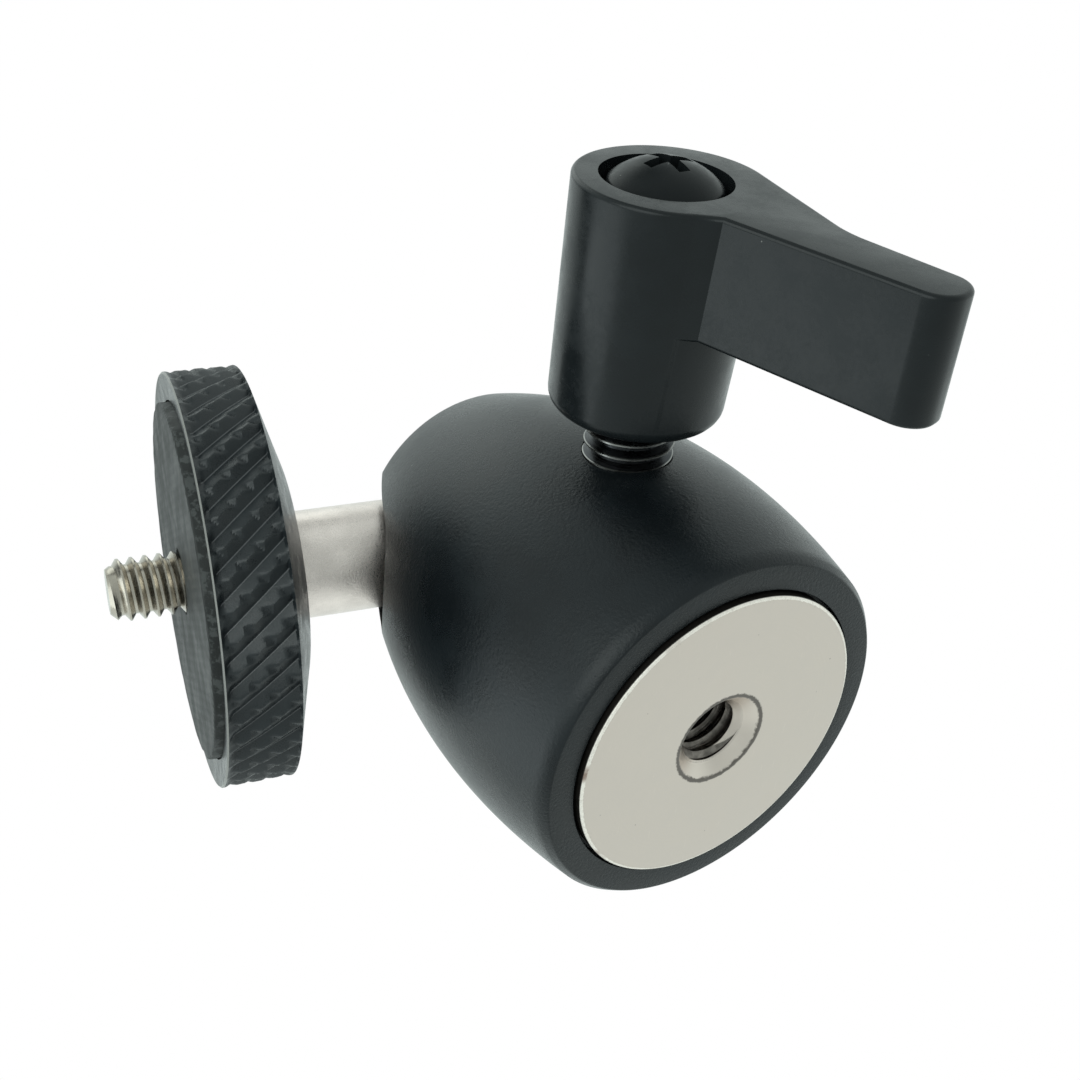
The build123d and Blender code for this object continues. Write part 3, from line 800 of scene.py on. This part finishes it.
def knurled_black(name, colour, count):
    """Black of the disc: bright lines in the groove bottoms, rubbed crests, edge and ring."""
    pitch = FULL * DISC_RADIUS / count
    f = Finish(name, colour, 0.0, 0.3, 0.4).turned_to(ON_STEM)
    fine, cloud = f.noise(7.0, 4, 0.65), f.noise(0.5, 3)
    r = f.radius()
    x, y, z = f.split()
    steps = f.math("MULTIPLY", f.math("ARCTAN2", y, x), count / FULL)
    rise = f.math("MULTIPLY", f.math("SUBTRACT", z, DISC_MIDDLE), math.tan(MAIN_LEAN) / pitch)
    part = f.math("FRACT", f.math("ADD", f.math("SUBTRACT", steps, rise), 0.5))
    groove = f.ramp(f.math("ABSOLUTE", f.math("SUBTRACT", part, 0.5)), 0.035, 0.018)
    for limit in (
        f.ramp(r, 19.35, 19.2), f.ramp(r, 18.7, 18.8),
        f.ramp(z, DISC_LOW, DISC_LOW + 0.15), f.ramp(z, DISC_HIGH, DISC_HIGH - 0.2),
    ):
        groove = f.math("MULTIPLY", groove, limit)
    crest = f.math("MULTIPLY", f.ramp(r, 19.50, 19.62), f.ramp(fine, 0.52, 0.66))
    worn = f.math("MULTIPLY", f.ramp(z, 31.84, 31.88), f.ramp(r, 19.42, 19.48))
    patches = f.math("MULTIPLY", f.ramp(z, 31.7, 31.75), f.ramp(f.noise(0.9, 3, 0.7), 0.45, 0.6))
    ring = f.math("MULTIPLY", f.ramp(r, 19.45, 19.4), patches)
    tone = f.mix(cloud, tint(colour, 0.8), tint(colour, 1.3))
    tone = f.mix(f.math("MULTIPLY", crest, 0.2), tone, (0.22, 0.22, 0.21))
    tone = f.mix(f.math("MULTIPLY", worn, 0.9), tone, (0.3, 0.3, 0.28))
    tone = f.mix(f.math("MULTIPLY", ring, 0.35), tone, (0.09, 0.09, 0.08))
    f.colour(f.mix(groove, tone, (0.13, 0.135, 0.14)))
    f.roughness(f.ramp(f.math("ADD", cloud, fine), 0.7, 1.3, 0.24, 0.42))
    f.bump(fine, 0.02 * MM)
    return f


def ribbed_rubber(name, colour, pitch, grain):
    """Rubber with fine broken ribs on its face, painted shade in the rib hollows and painted light on their
    tops, and glue patches on its side wall.
    """
    f = Finish(name, colour, 0.0, 0.55, 0.3).turned_to(ON_STEM)
    x, y, z = f.split()
    rib = FULL / pitch
    row = f.math("ADD", f.math("MULTIPLY", x, math.cos(grain)), f.math("MULTIPLY", y, math.sin(grain)))
    way = f.math("SUBTRACT", f.math("MULTIPLY", y, math.cos(grain)), f.math("MULTIPLY", x, math.sin(grain)))
    ribs = f.math("SINE", f.math("MULTIPLY", row, rib))
    dots = f.math("ADD", 0.7, f.math("MULTIPLY", f.math("SINE", f.math("MULTIPLY", way, rib * 0.6)), 0.3))
    weave = f.math("MULTIPLY", ribs, dots)
    weave = f.math("MULTIPLY", weave, f.ramp(z, PAD_FACE - 0.09, PAD_FACE - 0.02))
    cloud = f.noise(0.3, 3)
    side = f.ramp(z, PAD_FACE - 0.1, PAD_FACE - 0.15)
    glue = f.math("MULTIPLY", side, f.ramp(f.noise(1.1, 4, 0.7), 0.48, 0.6))
    # Painted shade and light: the colour follows the rib relief, darker in the hollows and lighter on the
    # tops.
    tone = f.mix(f.ramp(weave, -0.5, 0.8), tint(colour, 0.4), tint(colour, 2.1))
    f.colour(f.mix(glue, tone, tint(colour, 2.6)))
    f.roughness(f.ramp(cloud, 0.3, 0.7, 0.45, 0.65))
    f.bump(weave, 0.09 * MM).bump(f.noise(9, 3), 0.02 * MM)
    return f


class BALLHEAD_OT_disc(bpy.types.Operator):
    """Lock disc with its crossed knurl, and the ribbed camera pad on its face"""

    bl_idname = "ballhead.disc"
    bl_label = "Lock disc and pad"

    def execute(self, context):
        sizes, colours = context.scene.ballhead_sizes, context.scene.ballhead_colours
        hole, counterbore, counterbore_floor = 3.145, 5.52, 24.13
        hub, hub_back, rings = 11.5, 22.95, 34
        inlay, inlay_edge, front, front_face = 17.02, 31.74, 19.5, 32.0
        rim = [(DISC_RADIUS, DISC_LOW + (DISC_HIGH - DISC_LOW) * i / rings) for i in range(rings + 1)]
        bm = lathe(
            [(hole, counterbore_floor), (counterbore, counterbore_floor), (counterbore, hub_back),
             (hub, hub_back)] + rim
            + [(front, front_face), (inlay, inlay_edge), (inlay, INLAY_FLOOR), (hole, INLAY_FLOOR)],
            (), sizes.knurl_count * 16,
        )
        knurl(bm, sizes)
        disc = piece("knurled_disc", bm, ON_STEM, "disc", ("lock_disc",), 28)
        knurled_black("knurled_black", tuple(colours.disc), sizes.knurl_count).on(disc)

        pad_hole, pad_edge = 3.13, 16.87
        bm = lathe([(pad_hole, INLAY_FLOOR), (pad_edge, INLAY_FLOOR), (pad_edge, PAD_FACE),
                    (pad_hole, PAD_FACE)], ((2, 0.18), (3, 0.1)), 192)
        for vert in bm.verts:
            if math.hypot(vert.co.x, vert.co.y) > 10 and vert.co.z > INLAY_FLOOR + 0.2:
                ragged = noise.noise(Vector((vert.co.x, vert.co.y, 4)) * 0.5)
                inward = 1 - 0.022 * max(0.0, ragged + 0.15)
                vert.co.x *= inward
                vert.co.y *= inward
        pad = piece("ribbed_pad", bm, ON_STEM, "pad", ("face_pad",))
        ribbed_rubber("ribbed_rubber", tuple(colours.pad), sizes.pad_rib / MM, sizes.pad_turn).on(pad)
        return {"FINISHED"}


# ------------------------------------------------------------------ inner pieces
class BALLHEAD_OT_inner(bpy.types.Operator):
    """The two springs, and the finishes of the pieces inside the body and the lever"""

    bl_idname = "ballhead.inner"
    bl_label = "Inner pieces"

    def execute(self, context):
        nodes = frame["nodes"]
        turned_metal("machined_alloy", (0.55, 0.55, 0.56), UPRIGHT, 0.32, 5.0).on(nodes["lower_seat"])
        nylon = Finish("nylon", (0.62, 0.6, 0.54), 0.0, 0.45, 0.45).turned_to(UPRIGHT)
        nylon.colour(nylon.mix(nylon.noise(0.8, 3), (0.55, 0.53, 0.47), (0.68, 0.66, 0.6)))
        nylon.bump(nylon.noise(5, 3), 0.015 * MM)
        nylon.on(nodes["seat_liner"])
        turned_metal("turned_brass", (0.6, 0.42, 0.17), ON_LEVER, 0.24, 6.0).on(nodes["pressure_pad"])

        # Each spring is squeezed between the two bodies that it bears on.
        ledge, washer, wire, coil_radius, turns = 31.93, 40.97, 0.8, 3.9, 5
        lever_coil = piece(
            "lever_coil_spring", coil(coil_radius, wire, ledge + wire / 2, washer - wire / 2, turns),
            ON_LEVER, None, ("lever_spring",), smooth=50,
        )
        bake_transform(lever_coil)
        plug, seat, sheet, wide, narrow = 7.0, 8.97, 0.6, 11.6, 7.6
        seat_cone = piece(
            "seat_cone_spring",
            lathe([(wide, plug), (wide, plug + sheet), (narrow, seat), (narrow, seat - sheet)]),
            UPRIGHT, None, ("seat_spring",),
        )
        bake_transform(seat_cone)
        turned_metal("spring_steel", (0.42, 0.42, 0.42), ON_LEVER, 0.26, 4.0).on(
            lever_coil, seat_cone, nodes["lever_washer"]
        )
        turned_metal("black_steel", (0.09, 0.09, 0.09), ON_LEVER, 0.34, 5.0).on(nodes["lever_insert"])
        return {"FINISHED"}


# ------------------------------------------------------------------ stage
def math_node(tree, operation, one, other):
    """One value worked out from two sockets of a world or floor."""
    node = tree.nodes.new("ShaderNodeMath")
    node.operation = operation
    tree.links.new(one, node.inputs[0])
    tree.links.new(other, node.inputs[1])
    return node


def pale_world(scene, right, down, ahead):
    """A pale room: white to the camera, and with three darker sides for what surfaces mirror."""
    world = bpy.data.worlds.new("pale_world")
    scene.world = world
    world.use_nodes = True
    tree = world.node_tree
    nodes, links = tree.nodes, tree.links
    back = nodes["Background"]
    rays = nodes.new("ShaderNodeLightPath").outputs
    shade = nodes.new("ShaderNodeMix")
    shade.data_type = "RGBA"
    shade.inputs[6].default_value, shade.inputs[7].default_value = (0.9, 1, 0.98, 1), (1, 1, 1, 1)
    links.new(rays["Is Camera Ray"], shade.inputs[0])
    links.new(shade.outputs[2], back.inputs["Color"])
    clear = math_node(tree, "MAXIMUM", rays["Is Glossy Ray"], rays["Is Transmission Ray"])
    seen = math_node(tree, "MAXIMUM", rays["Is Camera Ray"], clear.outputs[0])
    level = nodes.new("ShaderNodeMapRange")
    level.inputs["To Min"].default_value, level.inputs["To Max"].default_value = 0.45, 1.0
    links.new(seen.outputs[0], level.inputs["Value"])
    around = nodes.new("ShaderNodeTexCoord").outputs["Generated"]

    def side(way, near, far, dark):
        """How bright the room is towards one side, from 1 down to dark."""
        facing = nodes.new("ShaderNodeVectorMath")
        facing.operation = "DOT_PRODUCT"
        facing.inputs[1].default_value = way
        links.new(around, facing.inputs[0])
        fall = nodes.new("ShaderNodeMapRange")
        for key, value in (("From Min", near), ("From Max", far), ("To Min", 1.0), ("To Max", dark)):
            fall.inputs[key].default_value = value
        links.new(facing.outputs["Value"], fall.inputs["Value"])
        return fall.outputs["Result"]

    front = side(-ahead, 0.1, 0.65, 0.7)
    left = side((ahead * 0.27 - right * 0.95 - down * 0.10).normalized(), 0.935, 0.985, 0.1)
    above = side((ahead * 0.08 - right * 0.14 - down * 0.98).normalized(), 0.93, 0.985, 0.15)
    corner = math_node(tree, "MULTIPLY", left, above)
    room = math_node(tree, "MULTIPLY", front, corner.outputs[0])
    lit = math_node(tree, "MAXIMUM", room.outputs[0], rays["Is Camera Ray"])
    strength = math_node(tree, "MULTIPLY", level.outputs["Result"], lit.outputs[0])
    links.new(strength.outputs[0], back.inputs["Strength"])


def pale_floor():
    """A floor that only the camera sees, and only from above: pale, with the object's shadow."""
    size, height, glow_share = 0.6, -8.2 * MM, 0.6
    grid = bmesh.new()
    bmesh.ops.create_grid(grid, x_segments=8, y_segments=8, size=size,
                          matrix=Matrix.Translation((0, 0, height)))
    floor = piece("floor", grid, Matrix.Identity(4), None)
    material = bpy.data.materials.new("pale_floor")
    material.use_nodes = True
    tree = material.node_tree
    nodes, links = tree.nodes, tree.links
    nodes.clear()
    shadow = nodes.new("ShaderNodeBsdfDiffuse")
    shadow.inputs["Color"].default_value = (0.95, 0.87, 0.89, 1)
    glow = nodes.new("ShaderNodeEmission")
    pale = nodes.new("ShaderNodeMixShader")
    pale.inputs[0].default_value = glow_share
    links.new(shadow.outputs[0], pale.inputs[1])
    links.new(glow.outputs[0], pale.inputs[2])
    glass = nodes.new("ShaderNodeBsdfTransparent")
    camera_ray = nodes.new("ShaderNodeLightPath").outputs["Is Camera Ray"]
    behind = nodes.new("ShaderNodeNewGeometry").outputs["Backfacing"]
    front = math_node(tree, "SUBTRACT", camera_ray, behind)
    front.use_clamp = True
    mix = nodes.new("ShaderNodeMixShader")
    for index, socket in enumerate((front.outputs[0], glass.outputs[0], pale.outputs[0])):
        links.new(socket, mix.inputs[index])
    out = nodes.new("ShaderNodeOutputMaterial")
    links.new(mix.outputs[0], out.inputs["Surface"])
    floor.data.materials.append(material)


class BALLHEAD_OT_stage(bpy.types.Operator):
    """Camera, lamps, pale world and floor"""

    bl_idname = "ballhead.stage"
    bl_label = "Stage"

    def execute(self, context):
        scene = context.scene
        right = Vector((0.0927416, 0.8412123, -0.5326921))
        down = Vector((-0.8347668, -0.2259303, -0.5021155))
        ahead = Vector((-0.5427370, 0.4912406, 0.6812629))
        stand = Vector((80.209, -70.161, -68.07)) * MM
        camera = bpy.data.objects.new("camera", bpy.data.cameras.new("camera"))
        context.collection.objects.link(camera)
        camera.data.lens, camera.data.sensor_width = 48.69, 36.0
        camera.data.clip_start, camera.data.clip_end = 0.002, 10
        turn = Matrix((right, -down, -ahead)).transposed().to_4x4()
        camera.matrix_world = Matrix.Translation(stand) @ turn
        scene.camera = camera

        middle = Vector((8, -6, 22)) * MM
        # name; way up, across and towards the camera; distance and size in metres; watts; colour
        lamps = (
            ("key", 0.79, -0.42, -0.3, 0.32, 0.24, 0.105, (0.92, 1.0, 0.96)),
            ("side", -0.3, -0.95, 0.1, 0.36, 0.3, 0.3, (0.88, 0.98, 1.0)),
            ("front", 0.15, -0.5, 0.85, 0.40, 0.36, 0.7, (0.91, 1.0, 0.98)),
        )
        for name, up, across, toward, far, size, power, colour in lamps:
            lamp = bpy.data.objects.new(name, bpy.data.lights.new(name, "AREA"))
            context.collection.objects.link(lamp)
            way = (-down * up + right * across - ahead * toward).normalized()
            lamp.location = middle + way * far
            lamp.rotation_euler = way.to_track_quat("Z", "Y").to_euler()
            lamp.data.shape, lamp.data.size = "DISK", size
            lamp.data.energy, lamp.data.color = power, colour

        pale_world(scene, right, down, ahead)
        pale_floor()
        scene.view_settings.view_transform = "Standard"
        return {"FINISHED"}


class BALLHEAD_PT_panel(bpy.types.Panel):
    """Lists the sizes, colours and builders of the ball head"""

    bl_idname = "BALLHEAD_PT_panel"
    bl_label = "Ball head"
    bl_space_type = "VIEW_3D"
    bl_region_type = "UI"
    bl_category = "Ball head"

    def draw(self, context):
        for group in (context.scene.ballhead_sizes, context.scene.ballhead_colours):
            box = self.layout.box()
            for key in type(group).__annotations__:
                box.prop(group, key)
        for builder in BUILDERS:
            self.layout.operator(builder.bl_idname)


BUILDERS = (
    BALLHEAD_OT_stage, BALLHEAD_OT_body, BALLHEAD_OT_base, BALLHEAD_OT_lever, BALLHEAD_OT_stem,
    BALLHEAD_OT_disc, BALLHEAD_OT_inner,
)
CLASSES = (BallHeadSizes, BallHeadColours, *BUILDERS, BALLHEAD_PT_panel)


def register():
    for cls in CLASSES:
        bpy.utils.register_class(cls)
    bpy.types.Scene.ballhead_sizes = bpy.props.PointerProperty(type=BallHeadSizes)
    bpy.types.Scene.ballhead_colours = bpy.props.PointerProperty(type=BallHeadColours)


def unregister():
    del bpy.types.Scene.ballhead_colours, bpy.types.Scene.ballhead_sizes
    for cls in reversed(CLASSES):
        bpy.utils.unregister_class(cls)


def main():
    """Builds the whole scene."""
    register()
    for builder in BUILDERS:
        group, name = builder.bl_idname.split(".")
        getattr(getattr(bpy.ops, group), name)()


if __name__ == "__main__":
    main()
